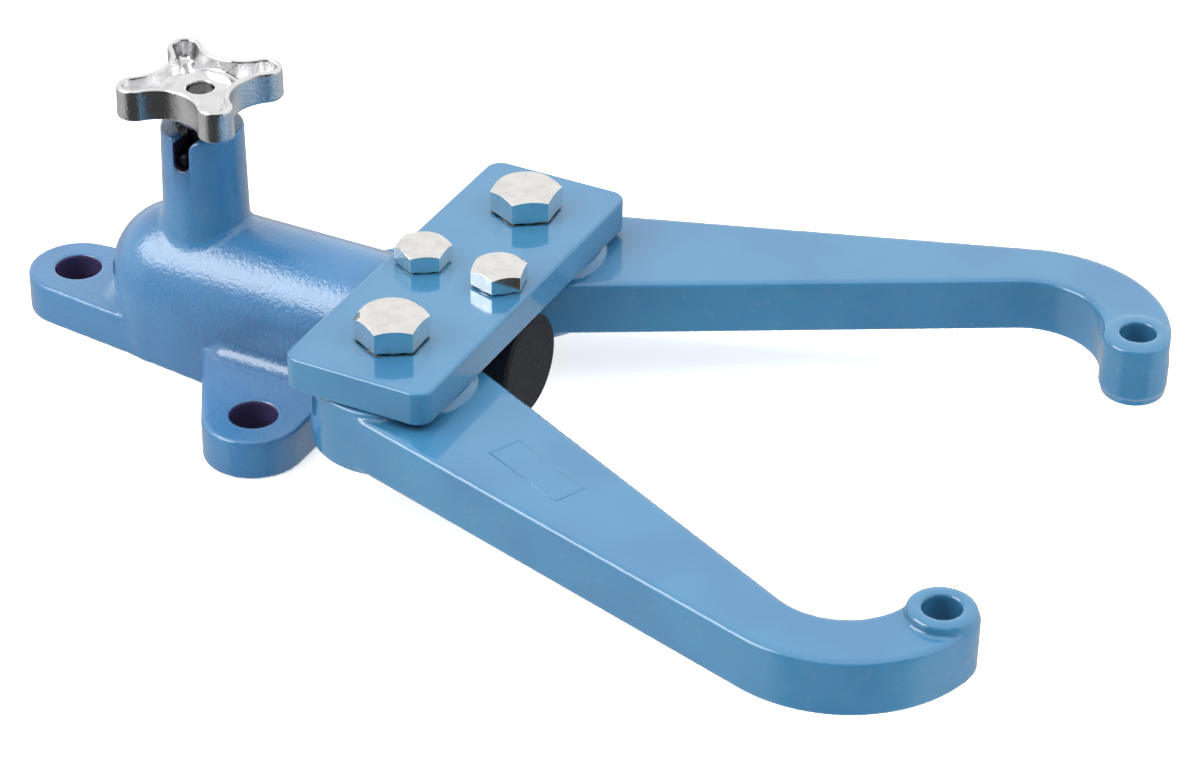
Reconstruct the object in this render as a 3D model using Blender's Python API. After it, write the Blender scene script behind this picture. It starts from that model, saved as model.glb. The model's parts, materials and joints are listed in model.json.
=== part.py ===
"""Bench-mounted rotating holding fixture with two clamping arms.

A cast bracket bolts to the edge of a bench. A spindle turns in its barrel and
is locked in any of twelve positions by a spring-loaded pin under a star knob.
A clamp plate on the spindle holds two swivelling hook arms, whose bored tips
bolt to the work.

Frame: origin on the bench face, straight under the lock pin. +X runs forward
along the spindle to the arm tips, +Y to the far side, +Z up. Every size below
is in millimetres; MM turns it into Blender's metres.
"""
import math

import bmesh
import bpy
from mathutils import Matrix

MM = 0.001
GAP = 0.3                       # between faces that touch on the real object

# Bench bracket
AXIS_Z = 30.0                   # spindle axis above the bench
BARREL_R = 27.3
BARREL_REAR_X = -12.0           # centre of the domed end
BARREL_FRONT_X = 79.0
FOOT_HALF_WIDTH = 28.9          # of the barrel's walls where they reach the bench
FOOT_T = 16.2                   # thickness of the bolting lugs
LUG_R = 19.5
LUG_HOLE_R = 9.0                # clears M16
REAR_LUG_X = -61.7
SIDE_LUG_X = 54.2
SIDE_LUG_Y = 57.9
LUG_ROOT_X = 14.0               # where a side lug's flare reaches the barrel
REAR_ROOT = (-22.0, 26.4)       # where the rear lug's flare reaches the barrel
TURRET_TOP_Z = 97.0
TURRET_TOP_R = 15.8
TURRET_FOOT_R = 17.2
TURRET_BORE_R = 8.3             # spring chamber
TURRET_SHOULDER_Z = 80.0        # top of the spring chamber
SLOT_HALF_WIDTH = 3.0
SLOT_DEPTH = 13.0
SLOT_FLARE = 2.6

# Spindle
JOURNAL_R = 17.0
HEAD_R = 20.0
HEAD_CHAMFER = 1.2
SPINDLE_REAR_X = -22.0
SPINDLE_FRONT_X = 140.1
SEAT_Z = 49.1                   # flat under the clamp plate
INDEX_COUNT = 12
SOCKET_MOUTH_R = 3.5
SOCKET_FLOOR_R = 2.3
SOCKET_DEPTH = 5.5
GROOVE_X = 42.0
GROOVE_R = 13.4
GROOVE_HALF_WIDTH = 3.2

# Clamp plate
PLATE_X = 110.8                 # pivot line
PLATE_LENGTH = 161.6
PLATE_WIDTH = 58.8
PLATE_TOP_Z = 62.9
PLATE_T = PLATE_TOP_Z - SEAT_Z - GAP
PLATE_CORNER_R = 6.5
PIVOT_Y = 51.8
SCREW_OFFSET = 16.0             # each side of the pivot line

# Arms: in an arm's own frame the pivot is at 0, the bore on +X, the inside of the hook on +Y
ARM_REACH = 235.2               # pivot to tip bore
ARM_WEB_T = 22.0
ARM_WEB_EYE_R = 29.2
ARM_EYE_R = 30.0
ARM_EYE_T = 26.6
HOOK_X = 195.0
HOOK_Y = 1.5
HOOK_OUTER_R = 52.9
HOOK_INNER_R = 27.4
TIP_BOSS_R = 12.4
TIP_BOSS_RISE = 3.7
TIP_BORE_R = 6.75               # clears M12
PIVOT_BORE_R = 8.5
NEAR_ARM_DEG = -10.2
FAR_ARM_DEG = 12.7

# Fasteners
M16 = {"shank": 7.9, "flats": 24.0, "head": 10.0, "nut": 8.0}
M12 = {"shank": 5.9, "flats": 19.0, "head": 7.5}
WASHER_R = 15.0
WASHER_T = 3.0
SCREW_REACH = 18.0              # of a plate screw into the spindle
SET_SCREW_R = 3.9
SET_DOG_R = 2.7

# Lock pin and knob
STEM_R = 5.0
COLLAR_R = 7.8
COLLAR_Z = (50.0, 54.0)
NOSE_TIP_R = 2.0
NOSE_ROOT_R = 3.2
CROSS_PIN_R = 2.6
CROSS_PIN_LENGTH = 28.0
WIRE_R = 0.7
SPRING_R = 6.5                  # to the middle of the wire
SPRING_TURNS = 7
KNOB_BOTTOM_Z = 105.0
KNOB_TOP_Z = 117.8
KNOB_DISH_Z = 112.3
KNOB_R = 31.8
KNOB_TIP_R = 6.8
KNOB_WAIST_R = 16.2
KNOB_RIM = 2.3
KNOB_HUB_R = 9.0
KNOB_TURN_DEG = 45.0

BLUE = (0.115, 0.31, 0.52, 1.0)
BLACK = (0.018, 0.019, 0.024, 1.0)
ZINC = (0.62, 0.62, 0.60, 1.0)
CHROME = (0.78, 0.78, 0.78, 1.0)
STEEL = (0.24, 0.24, 0.25, 1.0)

LARGE = 64                      # sides of a large round piece
SMALL = 32
TINY = 16


# ---------------------------------------------------------------- outlines
def arc(cx, cy, radius, start_deg, end_deg, steps):
    """Points along an arc, both ends included, positive angles anticlockwise."""
    points = []
    for i in range(steps + 1):
        a = math.radians(start_deg + (end_deg - start_deg) * i / steps)
        points.append((cx + radius * math.cos(a), cy + radius * math.sin(a)))
    return points


def circle(radius, steps, turn_deg=0.0):
    return arc(0.0, 0.0, radius, turn_deg, turn_deg + 360.0, steps)[:-1]


def rounded_rectangle(half_x, half_y, radius, steps):
    points = []
    for sx, sy, start in ((1, 1, 0), (-1, 1, 90), (-1, -1, 180), (1, -1, 270)):
        centre_x = sx * (half_x - radius)
        centre_y = sy * (half_y - radius)
        points += arc(centre_x, centre_y, radius, start, start + 90, steps)
    return points


def tangent_deg(cx, cy, r_from, r_to):
    """Direction of the line that leaves a circle at 0 and touches one at (cx, cy), both on its left."""
    distance = math.hypot(cx, cy)
    return math.degrees(math.atan2(cy, cx) - math.asin((r_to - r_from) / distance))


def arm_outline():
    """Eye, straight outer edge, round hook, round tip, inside of the hook, straight inner edge."""
    outer = tangent_deg(HOOK_X, HOOK_Y, ARM_WEB_EYE_R, HOOK_OUTER_R)
    gap = math.hypot(HOOK_X, HOOK_Y)
    lean = math.degrees(math.asin((ARM_WEB_EYE_R + HOOK_INNER_R) / gap))
    inner = math.degrees(math.atan2(HOOK_Y, HOOK_X)) - lean
    middle = (HOOK_OUTER_R + HOOK_INNER_R) / 2
    tip_r = (HOOK_OUTER_R - HOOK_INNER_R) / 2
    points = arc(0, 0, ARM_WEB_EYE_R, inner + 90, outer + 270, 20)
    points += arc(HOOK_X, HOOK_Y, HOOK_OUTER_R, outer - 90, 0, 20)
    points += arc(HOOK_X + middle, HOOK_Y, tip_r, 0, 180, 10)[1:]
    points += arc(HOOK_X, HOOK_Y, HOOK_INNER_R, 0, inner - 90, 16)[1:]
    return points


def star_outline(inset):
    """Four round lobes joined by hollow sides, drawn inside the knob's edge by inset."""
    lobe_at = KNOB_R - KNOB_TIP_R
    tip_r = KNOB_TIP_R - inset
    # The hollow's centre lies on the diagonal, and its circle touches both lobes.
    reach = KNOB_WAIST_R - KNOB_TIP_R
    hollow_at = (lobe_at ** 2 - reach ** 2) / (2 * (lobe_at * math.sqrt(0.5) - reach))
    hollow_r = hollow_at - KNOB_WAIST_R + inset
    diagonal = hollow_at * math.sqrt(0.5)
    touch = math.degrees(math.atan2(diagonal, diagonal - lobe_at))
    points = []
    for quarter in range(4):
        turn = 90.0 * quarter
        c, s = math.cos(math.radians(turn)), math.sin(math.radians(turn))
        points += arc(lobe_at * c, lobe_at * s, tip_r, turn - touch, turn + touch, 10)
        centre = (diagonal * c - diagonal * s, diagonal * s + diagonal * c)
        points += arc(*centre, hollow_r, turn + 180 + touch, turn + 270 - touch, 12)[1:-1]
    return points


def foot_outline():
    """Rear lug, side lugs and the barrel's foot, seen from above."""
    rear_x, rear_y = REAR_ROOT
    lean = math.degrees(math.atan2(rear_y - LUG_R, rear_x - REAR_LUG_X))
    run, rise = SIDE_LUG_X - LUG_ROOT_X, SIDE_LUG_Y - FOOT_HALF_WIDTH
    flare = math.degrees(math.atan2(rise, run) + math.asin(LUG_R / math.hypot(run, rise)))
    half = arc(SIDE_LUG_X, SIDE_LUG_Y, LUG_R, 0, 90 + flare, 14)
    half += [(LUG_ROOT_X, FOOT_HALF_WIDTH), (rear_x, rear_y)]
    half += arc(REAR_LUG_X, 0, LUG_R, 90 + lean, 180, 12)
    mirrored = [(x, -y) for x, y in reversed(half[:-1])]
    nose = [(SIDE_LUG_X + LUG_R, -FOOT_HALF_WIDTH), (BARREL_FRONT_X, -FOOT_HALF_WIDTH)]
    nose += [(x, -y) for x, y in reversed(nose)]
    return half + mirrored + nose


def wall_outline(half_width):
    """The barrel's walls seen from above: square in front, a half circle behind."""
    rear = arc(BARREL_REAR_X, 0, half_width, 90, 270, 24)
    return [(BARREL_FRONT_X, half_width)] + rear + [(BARREL_FRONT_X, -half_width)]


def slot_outline():
    """Slot in the turret's rim, seen from the side: round floor and flared mouth."""
    floor_z = TURRET_TOP_Z - SLOT_DEPTH + SLOT_HALF_WIDTH
    mouth_x = SLOT_HALF_WIDTH + SLOT_FLARE
    mouth_z = TURRET_TOP_Z - SLOT_FLARE
    points = arc(0, floor_z, SLOT_HALF_WIDTH, 180, 360, 10)
    points += arc(mouth_x, mouth_z, SLOT_FLARE, 180, 90, 5)
    points += [(mouth_x, TURRET_TOP_Z + 2), (-mouth_x, TURRET_TOP_Z + 2)]
    points += arc(-mouth_x, mouth_z, SLOT_FLARE, 90, 0, 5)
    return points


# ---------------------------------------------------------------- meshes
def skin(rings, closed=False):
    """Closed mesh through rings of equally many points, in millimetres."""
    bm = bmesh.new()
    loops = [[bm.verts.new([c * MM for c in point]) for point in ring] for ring in rings]
    count = len(loops[0])
    pairs = list(zip(loops, loops[1:]))
    if closed:
        pairs.append((loops[-1], loops[0]))
    else:
        bm.faces.new(reversed(loops[0]))
        bm.faces.new(loops[-1])
    for low, high in pairs:
        for i in range(count):
            j = (i + 1) % count
            bm.faces.new((low[i], low[j], high[j], high[i]))
    bmesh.ops.recalc_face_normals(bm, faces=bm.faces)
    return bm


def prism(outline, z0, z1):
    return skin([[(x, y, z) for x, y in outline] for z in (z0, z1)])


def turned(profile, segments, closed=False):
    """Round about Z. The profile is a list of (radius, height), or of a closed section."""
    return skin([[(x, y, z) for x, y in circle(r, segments)] for r, z in profile], closed)


def along_x(bm):
    """Turns a mesh made along Z so that it runs along X."""
    bm.transform(Matrix.Rotation(math.pi / 2, 4, "Y"))
    return bm


def moved(bm, x=0.0, y=0.0, z=0.0):
    bm.transform(Matrix.Translation((x * MM, y * MM, z * MM)))
    return bm


def joined(pieces):
    """Several separate closed meshes as one."""
    whole = bmesh.new()
    for piece in pieces:
        mesh = bpy.data.meshes.new("piece")
        piece.to_mesh(mesh)
        piece.free()
        whole.from_mesh(mesh)
        bpy.data.meshes.remove(mesh)
    return whole


# ---------------------------------------------------------------- objects
def material(name, colour, metallic, roughness):
    made = bpy.data.materials.new(name)
    made.use_nodes = True
    shader = made.node_tree.nodes["Principled BSDF"]
    shader.inputs["Base Color"].default_value = colour
    shader.inputs["Metallic"].default_value = metallic
    shader.inputs["Roughness"].default_value = roughness
    return made


FINISH = {
    "paint": (BLUE, 0.0, 0.25),
    "black": (BLACK, 0.2, 0.6),
    "zinc": (ZINC, 1.0, 0.3),
    "chrome": (CHROME, 1.0, 0.1),
    "steel": (STEEL, 1.0, 0.45),
}


def add_object(name, bm, parent):
    mesh = bpy.data.meshes.new(name)
    bm.to_mesh(mesh)
    bm.free()
    obj = bpy.data.objects.new(name, mesh)
    bpy.context.scene.collection.objects.link(obj)
    obj.parent = parent
    return obj


def add_part(name, bm, parent, finish):
    obj = add_object(name, bm, parent)
    obj.data.materials.append(material(name, *FINISH[finish]))
    obj.data.shade_smooth()
    obj.data.set_sharp_from_angle(angle=math.radians(35))
    return obj


def add_axis(name, parent, x=0.0, y=0.0, z=0.0, turn_deg=0.0):
    """Empty on a joint's axis."""
    empty = bpy.data.objects.new(name, None)
    bpy.context.scene.collection.objects.link(empty)
    empty.parent = parent
    empty.location = (x * MM, y * MM, z * MM)
    empty.rotation_euler = (0, 0, math.radians(turn_deg))
    return empty


def combine(target, operation, label, bm):
    """Keeps a Boolean on the target, whose tool is a hidden child of it."""
    tool = add_object(f"{target.name}_{label}", bm, target)
    tool.hide_render = True
    tool.display_type = "WIRE"
    boolean = target.modifiers.new(label, "BOOLEAN")
    boolean.operation = operation
    boolean.solver = "EXACT"
    boolean.object = tool


def soften(target, width, segments=2):
    bevel = target.modifiers.new("edge", "BEVEL")
    bevel.width = width * MM
    bevel.segments = segments
    bevel.limit_method = "ANGLE"
    bevel.angle_limit = math.radians(50)


# ---------------------------------------------------------------- bracket
def domed_barrel():
    dome = [(math.sin(a) * BARREL_R, BARREL_REAR_X - math.cos(a) * BARREL_R)
            for a in [math.radians(d) for d in (4, 12, 22, 33, 44, 56, 68, 80, 90)]]
    return moved(along_x(turned(dome + [(BARREL_R, BARREL_FRONT_X)], LARGE)), z=AXIS_Z)


def barrel_walls():
    foot = [(x, y, 0.0) for x, y in wall_outline(FOOT_HALF_WIDTH)]
    shoulder = [(x, y, AXIS_Z) for x, y in wall_outline(BARREL_R)]
    return skin([foot, shoulder])


def turret_bores():
    """Spring chamber, then the stem's guide, then the hub's recess in the rim."""
    profile = [(TURRET_BORE_R, AXIS_Z), (TURRET_BORE_R, TURRET_SHOULDER_Z)]
    profile += [(STEM_R + GAP, TURRET_SHOULDER_Z), (STEM_R + GAP, TURRET_TOP_Z - 3)]
    profile += [(KNOB_HUB_R + 1, TURRET_TOP_Z - 3), (KNOB_HUB_R + 1, TURRET_TOP_Z + 2)]
    return turned(profile, SMALL)


def turret_slot():
    """Straight through the turret along Y."""
    half = TURRET_FOOT_R + 3
    return skin([[(x, y, z) for x, z in slot_outline()] for y in (-half, half)])


def lug_holes():
    centres = [(REAR_LUG_X, 0), (SIDE_LUG_X, SIDE_LUG_Y), (SIDE_LUG_X, -SIDE_LUG_Y)]
    return joined([moved(prism(circle(LUG_HOLE_R, SMALL), -2, FOOT_T + 2), x, y) for x, y in centres])


def build_bracket(root):
    bracket = add_part("bench_bracket", prism(foot_outline(), 0, FOOT_T), root, "paint")
    turret = [(TURRET_FOOT_R, AXIS_Z), (TURRET_TOP_R, TURRET_TOP_Z)]
    combine(bracket, "UNION", "walls", barrel_walls())
    combine(bracket, "UNION", "barrel", domed_barrel())
    combine(bracket, "UNION", "turret", turned(turret, LARGE))
    bore = [(JOURNAL_R + GAP, SPINDLE_REAR_X - GAP), (JOURNAL_R + GAP, BARREL_FRONT_X + 2)]
    combine(bracket, "DIFFERENCE", "bore", moved(along_x(turned(bore, LARGE)), z=AXIS_Z))
    combine(bracket, "DIFFERENCE", "turret_bores", turret_bores())
    combine(bracket, "DIFFERENCE", "slot", turret_slot())
    combine(bracket, "DIFFERENCE", "lug_holes", lug_holes())
    set_hole = prism(circle(SET_SCREW_R + GAP, SMALL), -2, AXIS_Z - GROOVE_R)
    combine(bracket, "DIFFERENCE", "set_hole", moved(set_hole, x=GROOVE_X))


def build_retaining_screw(root):
    """Dog-point set screw under the barrel; its point runs in the spindle's groove."""
    shank_top = AXIS_Z - JOURNAL_R - 4
    dog_top = AXIS_Z - GROOVE_R - 1.4
    profile = [(SET_SCREW_R, 1), (SET_SCREW_R, shank_top), (SET_DOG_R, shank_top), (SET_DOG_R, dog_top)]
    screw = add_part("retaining_screw", turned(profile, SMALL), root, "steel")
    screw.location.x = GROOVE_X * MM
    combine(screw, "DIFFERENCE", "socket", prism(circle(2.3, 6), -1, 4))


# ---------------------------------------------------------------- spindle and plate
def index_sockets():
    """Ring of tapered holes around the journal, one of them straight up."""
    depth_z = JOURNAL_R - SOCKET_DEPTH
    slope = (SOCKET_MOUTH_R - SOCKET_FLOOR_R) / SOCKET_DEPTH
    sockets = []
    for i in range(INDEX_COUNT):
        cone = turned([(SOCKET_FLOOR_R, depth_z), (SOCKET_MOUTH_R + slope, JOURNAL_R + 1)], TINY)
        cone.transform(Matrix.Rotation(math.tau * i / INDEX_COUNT, 4, "X"))
        sockets.append(cone)
    return joined(sockets)


def build_spindle(head):
    """Made about the head's own axis, so heights here are from the spindle's axis."""
    front_r = HEAD_R - HEAD_CHAMFER
    shoulder_x = BARREL_FRONT_X + GAP
    profile = [(JOURNAL_R - 1, SPINDLE_REAR_X), (JOURNAL_R, SPINDLE_REAR_X + 1)]
    for x, r in ((-GROOVE_HALF_WIDTH, JOURNAL_R), (-GROOVE_HALF_WIDTH, GROOVE_R),
                 (GROOVE_HALF_WIDTH, GROOVE_R), (GROOVE_HALF_WIDTH, JOURNAL_R)):
        profile.append((r, GROOVE_X + x))
    profile += [(JOURNAL_R, shoulder_x), (HEAD_R, shoulder_x)]
    profile += [(HEAD_R, SPINDLE_FRONT_X - HEAD_CHAMFER), (front_r, SPINDLE_FRONT_X)]
    spindle = add_part("spindle", along_x(turned(profile, LARGE)), head, "black")
    combine(spindle, "DIFFERENCE", "sockets", index_sockets())
    seat = prism([(78, -HEAD_R), (SPINDLE_FRONT_X + 1, -HEAD_R),
                  (SPINDLE_FRONT_X + 1, HEAD_R), (78, HEAD_R)], SEAT_Z - AXIS_Z, HEAD_R + 1)
    combine(spindle, "DIFFERENCE", "seat", seat)
    hole = prism(circle(M12["shank"] + GAP, SMALL), SEAT_Z - AXIS_Z - SCREW_REACH - 2, HEAD_R + 2)
    holes = [moved(hole.copy(), x=PLATE_X + side * SCREW_OFFSET) for side in (-1, 1)]
    combine(spindle, "DIFFERENCE", "tapped_holes", joined(holes))


def build_plate(head):
    outline = rounded_rectangle(PLATE_WIDTH / 2, PLATE_LENGTH / 2, PLATE_CORNER_R, 8)
    plate = add_part("clamp_plate", prism(outline, 0, PLATE_T), head, "paint")
    plate.location = (PLATE_X * MM, 0, (PLATE_TOP_Z - PLATE_T - AXIS_Z) * MM)
    soften(plate, 1.2)
    holes = []
    for side in (-1, 1):
        pivot = prism(circle(M16["shank"] + GAP, SMALL), -1, PLATE_T + 1)
        screw = prism(circle(M12["shank"] + GAP, SMALL), -1, PLATE_T + 1)
        holes.append(moved(pivot, y=side * PIVOT_Y))
        holes.append(moved(screw, x=side * SCREW_OFFSET))
    combine(plate, "DIFFERENCE", "holes", joined(holes))


# ---------------------------------------------------------------- fasteners
def hexagon(flats):
    return circle(flats / math.sqrt(3), 6)


def build_bolt(name, head, size, length, x, y, turn_deg):
    """Hex bolt whose head sits on the clamp plate; its own zero is under the head."""
    flats, height = size["flats"], size["head"]
    corner = flats / math.sqrt(3)
    bolt = add_part(name, prism(hexagon(flats), 0, height), head, "zinc")
    bolt.location = (x * MM, y * MM, (PLATE_TOP_Z + GAP - AXIS_Z) * MM)
    bolt.rotation_euler.z = math.radians(turn_deg)
    crown_r = flats * 0.475
    chamfer = (corner + 0.5 - crown_r) * math.tan(math.radians(30))
    crown = [(corner + 0.5, -1), (corner + 0.5, height - chamfer), (crown_r, height)]
    combine(bolt, "INTERSECT", "crown", turned(crown, LARGE))
    shank = [(size["shank"] - 1.2, -length), (size["shank"], 1.2 - length), (size["shank"], 1)]
    combine(bolt, "UNION", "shank", turned(shank, SMALL))


def build_nut(name, head, y, top_z):
    height = M16["nut"]
    nut = add_part(name, prism(hexagon(M16["flats"]), -height, 0), head, "zinc")
    nut.location = (PLATE_X * MM, y * MM, (top_z - AXIS_Z) * MM)
    combine(nut, "DIFFERENCE", "thread", prism(circle(M16["shank"] + GAP, SMALL), -height - 1, 1))


def build_washer(name, head, y, top_z):
    hole_r = M16["shank"] + GAP
    section = [(hole_r, -WASHER_T), (WASHER_R, -WASHER_T), (WASHER_R, 0), (hole_r, 0)]
    washer = add_part(name, turned(section, SMALL, closed=True), head, "zinc")
    washer.location = (PLATE_X * MM, y * MM, (top_z - AXIS_Z) * MM)


def build_fasteners(head):
    washer_z = SEAT_Z - ARM_EYE_T - GAP
    nut_z = washer_z - WASHER_T - GAP
    bolt_length = PLATE_TOP_Z + GAP - (nut_z - M16["nut"] - 2)
    for side, y, turn_deg in (("near", -PIVOT_Y, -27.9), ("far", PIVOT_Y, 35.1)):
        build_bolt(f"pivot_bolt_{side}", head, M16, bolt_length, PLATE_X, y, turn_deg)
        build_washer(f"pivot_washer_{side}", head, y, washer_z)
        build_nut(f"pivot_nut_{side}", head, y, nut_z)
    screw_length = PLATE_T + 2 * GAP + SCREW_REACH
    for side, x, turn_deg in (("rear", -SCREW_OFFSET, 32.9), ("front", SCREW_OFFSET, -16.4)):
        build_bolt(f"plate_screw_{side}", head, M12, screw_length, PLATE_X + x, 0, turn_deg)


# ---------------------------------------------------------------- arms
def build_arm(name, pivot, flipped):
    """Both arms are one casting; the far one is turned over about its length."""
    half_web = ARM_WEB_T / 2
    half_eye = ARM_EYE_T / 2
    arm = add_part(name, prism(arm_outline(), -half_web, half_web), pivot, "paint")
    arm.rotation_euler.x = math.pi if flipped else 0.0
    soften(arm, 1.5)
    eye = [(ARM_EYE_R - 0.5, -half_eye), (ARM_EYE_R, 0.5 - half_eye),
           (ARM_EYE_R, half_eye - 0.5), (ARM_EYE_R - 0.5, half_eye)]
    combine(arm, "UNION", "eye", turned(eye, LARGE))
    boss_top = half_web + TIP_BOSS_RISE
    boss = [(TIP_BOSS_R, 0), (TIP_BOSS_R - 0.6, boss_top - 1), (TIP_BOSS_R - 1.6, boss_top)]
    combine(arm, "UNION", "boss", moved(turned(boss, SMALL), x=ARM_REACH))
    bore = moved(prism(circle(TIP_BORE_R, SMALL), -half_eye - 2, boss_top + 2), x=ARM_REACH)
    eye_bore = prism(circle(PIVOT_BORE_R, SMALL), -half_eye - 2, half_eye + 2)
    combine(arm, "DIFFERENCE", "bores", joined([bore, eye_bore]))


# ---------------------------------------------------------------- lock pin and knob
def build_lock_pin(lock):
    """Nose, collar under the spring, and the stem up into the knob."""
    nose_z = AXIS_Z + JOURNAL_R
    profile = [(NOSE_TIP_R, nose_z - 5), (NOSE_ROOT_R, nose_z + 0.5), (STEM_R, nose_z + 1.5)]
    profile += [(STEM_R, COLLAR_Z[0]), (COLLAR_R, COLLAR_Z[0]), (COLLAR_R, COLLAR_Z[1])]
    profile += [(STEM_R, COLLAR_Z[1]), (STEM_R, KNOB_DISH_Z - 1.6), (STEM_R - 0.6, KNOB_DISH_Z - 1)]
    pin = add_part("lock_pin", turned(profile, SMALL), lock, "steel")
    cross = prism(circle(CROSS_PIN_R + GAP, TINY), -STEM_R - 2, STEM_R + 2)
    cross.transform(Matrix.Rotation(math.pi / 2, 4, "X"))
    combine(pin, "DIFFERENCE", "cross_hole", moved(cross, z=cross_pin_z()))


def cross_pin_z():
    return TURRET_TOP_Z - SLOT_DEPTH + CROSS_PIN_R + GAP + 0.3


def build_cross_pin(lock):
    half = CROSS_PIN_LENGTH / 2
    profile = [(CROSS_PIN_R - 0.4, -half), (CROSS_PIN_R, 0.4 - half),
               (CROSS_PIN_R, half - 0.4), (CROSS_PIN_R - 0.4, half)]
    pin = add_part("cross_pin", turned(profile, TINY), lock, "steel")
    pin.location.z = cross_pin_z() * MM
    pin.rotation_euler.x = math.pi / 2


def build_spring(lock):
    """Compression spring between the pin's collar and the turret's inner shoulder."""
    bottom = COLLAR_Z[1] + WIRE_R + GAP
    top = TURRET_SHOULDER_Z - WIRE_R - GAP
    steps = SPRING_TURNS * 14
    curve = bpy.data.curves.new("pin_spring", "CURVE")
    curve.dimensions = "3D"
    curve.bevel_depth = WIRE_R * MM
    curve.bevel_resolution = 1
    curve.use_fill_caps = True
    coil = curve.splines.new("POLY")
    coil.points.add(steps)
    for i, point in enumerate(coil.points):
        share = i / steps
        a = math.tau * SPRING_TURNS * share
        z = bottom + (top - bottom) * share
        point.co = (SPRING_R * math.cos(a) * MM, SPRING_R * math.sin(a) * MM, z * MM, 1)
    spring = bpy.data.objects.new("pin_spring", curve)
    curve.materials.append(material("pin_spring", *FINISH["steel"]))
    bpy.context.scene.collection.objects.link(spring)
    spring.parent = lock


def build_knob(lock):
    knob = add_part("star_knob", prism(star_outline(0.0), KNOB_BOTTOM_Z, KNOB_TOP_Z), lock, "chrome")
    knob.rotation_euler.z = math.radians(KNOB_TURN_DEG)
    soften(knob, 1.0)
    combine(knob, "DIFFERENCE", "dish", prism(star_outline(KNOB_RIM), KNOB_DISH_Z, KNOB_TOP_Z + 2))
    hub = [(KNOB_HUB_R - 1, TURRET_TOP_Z + 1.5), (KNOB_HUB_R, TURRET_TOP_Z + 2.5),
           (KNOB_HUB_R, KNOB_BOTTOM_Z + 1)]
    combine(knob, "UNION", "hub", turned(hub, SMALL))
    bore = prism(circle(STEM_R + GAP, SMALL), TURRET_TOP_Z, KNOB_TOP_Z)
    combine(knob, "DIFFERENCE", "bore", bore)


# ---------------------------------------------------------------- assembly
def clear_scene():
    for obj in list(bpy.data.objects):
        bpy.data.objects.remove(obj, do_unlink=True)


def main():
    clear_scene()
    root = add_axis("fixture", None)
    head = add_axis("spindle_axis", root, z=AXIS_Z)
    lock = add_axis("lock_axis", root)
    web_z = SEAT_Z - ARM_EYE_T / 2 - AXIS_Z
    near = add_axis("near_pivot", head, PLATE_X, -PIVOT_Y, web_z, NEAR_ARM_DEG)
    far = add_axis("far_pivot", head, PLATE_X, PIVOT_Y, web_z, FAR_ARM_DEG)
    build_bracket(root)
    build_retaining_screw(root)
    build_spindle(head)
    build_plate(head)
    build_fasteners(head)
    build_arm("arm_near", near, flipped=False)
    build_arm("arm_far", far, flipped=True)
    build_lock_pin(lock)
    build_cross_pin(lock)
    build_spring(lock)
    build_knob(lock)
    bpy.context.view_layer.update()


main()
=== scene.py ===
"""Looks for the rotating bench fixture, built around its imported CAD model.

Shapes are worked out in millimetres and turned into metres when a mesh is made.
The castings are distance fields, so that their fillets and rounded edges are real
geometry. Fasteners, spring and pins are swept or turned meshes.
"""

import json
import math

import bmesh
import bpy
import numpy as np
from mathutils import Matrix, Vector


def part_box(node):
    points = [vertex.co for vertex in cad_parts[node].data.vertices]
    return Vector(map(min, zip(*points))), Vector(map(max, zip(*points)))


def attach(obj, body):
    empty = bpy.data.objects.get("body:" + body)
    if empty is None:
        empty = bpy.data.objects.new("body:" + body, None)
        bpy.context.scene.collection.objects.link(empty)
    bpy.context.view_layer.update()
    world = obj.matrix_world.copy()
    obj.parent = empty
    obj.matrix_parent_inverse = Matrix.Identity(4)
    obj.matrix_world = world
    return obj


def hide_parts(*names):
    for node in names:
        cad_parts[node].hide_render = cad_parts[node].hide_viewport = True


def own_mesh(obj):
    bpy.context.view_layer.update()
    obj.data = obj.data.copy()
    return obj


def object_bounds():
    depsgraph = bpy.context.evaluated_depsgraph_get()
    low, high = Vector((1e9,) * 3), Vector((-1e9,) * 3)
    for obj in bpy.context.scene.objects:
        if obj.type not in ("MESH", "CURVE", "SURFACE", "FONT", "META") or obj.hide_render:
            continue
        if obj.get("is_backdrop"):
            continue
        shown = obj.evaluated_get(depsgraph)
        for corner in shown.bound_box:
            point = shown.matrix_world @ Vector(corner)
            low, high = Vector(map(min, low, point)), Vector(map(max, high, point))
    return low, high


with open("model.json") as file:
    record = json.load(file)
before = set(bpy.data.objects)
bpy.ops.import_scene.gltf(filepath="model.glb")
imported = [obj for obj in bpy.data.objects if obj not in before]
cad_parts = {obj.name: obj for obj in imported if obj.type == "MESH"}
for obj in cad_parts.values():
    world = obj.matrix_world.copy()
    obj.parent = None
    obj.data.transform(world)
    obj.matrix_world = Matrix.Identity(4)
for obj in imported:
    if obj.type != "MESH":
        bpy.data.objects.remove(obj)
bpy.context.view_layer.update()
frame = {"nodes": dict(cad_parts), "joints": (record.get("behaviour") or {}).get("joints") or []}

MM = 0.001
COARSE = 1.0
JOINTS = {joint["name"]: joint for joint in frame["joints"]}


def box_mm(node):
    low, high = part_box(node)
    return np.array(low) / MM, np.array(high) / MM


# ---------------------------------------------------------------- distance fields
def fillet_union(a, b, radius):
    """Two solids joined, with a concave fillet where they meet."""
    corner = np.hypot(np.maximum(radius - a, 0), np.maximum(radius - b, 0))
    return np.maximum(radius, np.minimum(a, b)) - corner


def round_meet(a, b, radius):
    """What two solids share, with the edge between them rounded."""
    corner = np.hypot(np.maximum(radius + a, 0), np.maximum(radius + b, 0))
    return np.minimum(-radius, np.maximum(a, b)) + corner


def round_cut(a, b, radius):
    """Solid a without solid b, with a rounded edge."""
    return round_meet(a, -b, radius)


def smooth_step(low, high, value):
    t = np.clip((value - low) / (high - low), 0, 1)
    return t * t * (3 - 2 * t)


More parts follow.
